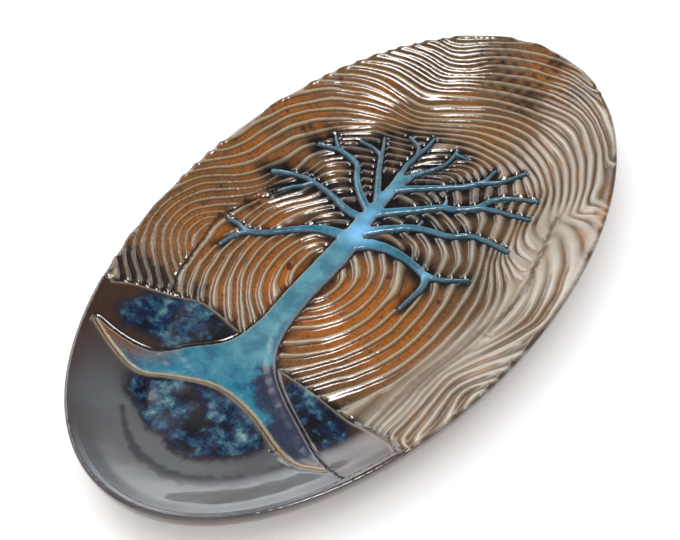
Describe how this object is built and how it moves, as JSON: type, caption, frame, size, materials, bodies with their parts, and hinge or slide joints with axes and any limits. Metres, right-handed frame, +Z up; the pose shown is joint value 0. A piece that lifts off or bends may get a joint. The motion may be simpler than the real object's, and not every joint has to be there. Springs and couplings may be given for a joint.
{
  "type": "carved oval serving platter",
  "caption": "Shallow oval stoneware platter with a sloping flange, a carved wavy field, and a bare tree with arching roots in low relief.",
  "frame": {"origin": "middle of the oval, on the plane that the foot stands on", "axes": "+Z up out of the dish, +Y along the platter from the roots to the crown of the tree, +X to the right of the trunk"},
  "size_m": [0.24, 0.43, 0.034],
  "materials": {
    "carved_field_glaze": "gloss iron glaze, amber to brown in the grooves, breaking to cream grey on the crests, black where it pools",
    "bare_stoneware": "unglazed stoneware, matt",
    "trunk_glaze": "gloss glaze, teal with a bright blue bloom, breaking to taupe at the edges",
    "limb_glaze": "gloss glaze, dark teal, breaking to taupe at the edges",
    "hill_glaze": "gloss glaze, blue black mottled with pale blue green",
    "ground_glaze": "gloss glaze, taupe grey to brown, with a mottled blue black patch under the root arch"
  },
  "bodies": {
    "root": {"dish_slab": "carved_field_glaze", "foot_ring": "bare_stoneware", "trunk_and_roots": "trunk_glaze", "limb_left_1": "limb_glaze", "limb_left_2": "limb_glaze", "limb_left_3": "limb_glaze", "limb_left_4": "limb_glaze", "limb_left_5": "limb_glaze", "limb_leader": "limb_glaze", "limb_right_1": "limb_glaze", "limb_right_2": "limb_glaze", "limb_right_3": "limb_glaze", "limb_right_4": "limb_glaze", "hill_left": "hill_glaze", "hill_right": "hill_glaze", "ground_front": "ground_glaze"}
  },
  "joints": []
}
